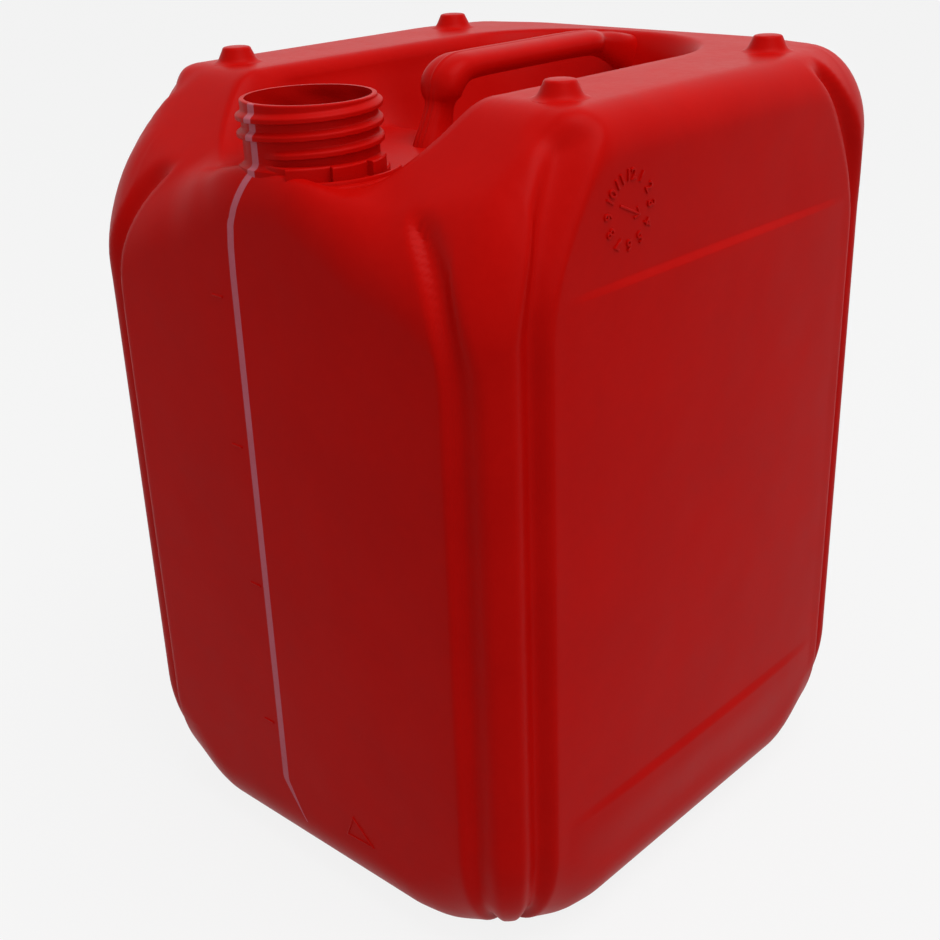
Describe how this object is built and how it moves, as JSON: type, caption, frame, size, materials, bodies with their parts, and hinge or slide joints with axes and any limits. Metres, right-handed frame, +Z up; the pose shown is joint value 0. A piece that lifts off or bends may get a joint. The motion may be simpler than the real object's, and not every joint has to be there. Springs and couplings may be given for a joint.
{
  "type": "plastic jerrycan",
  "caption": "Stackable plastic jerrycan with fluted corners, an open threaded neck, a moulded carry handle, stacking studs and a translucent level stripe.",
  "frame": {"origin": "middle of the standing face at the base", "axes": "+Z up, -Y towards the front face under the neck, +X to the right seen from the front"},
  "size_m": [0.2654, 0.2818, 0.378],
  "materials": {
    "hdpe_red": "satin blow-moulded polyethylene, coloured through, with a fine matt mould grain",
    "hdpe_natural_stripe": "uncoloured translucent polyethylene, milky, tinted by the red beside and behind it"
  },
  "bodies": {
    "root": {"base_pan": "hdpe_red", "body_walls": "hdpe_red", "top_shoulder": "hdpe_red", "view_stripe": "hdpe_natural_stripe", "neck_finish": "hdpe_red", "carry_handle": "hdpe_red", "stacking_stud_front_left": "hdpe_red", "stacking_stud_front_right": "hdpe_red", "stacking_stud_rear_left": "hdpe_red", "stacking_stud_rear_right": "hdpe_red"}
  },
  "joints": []
}
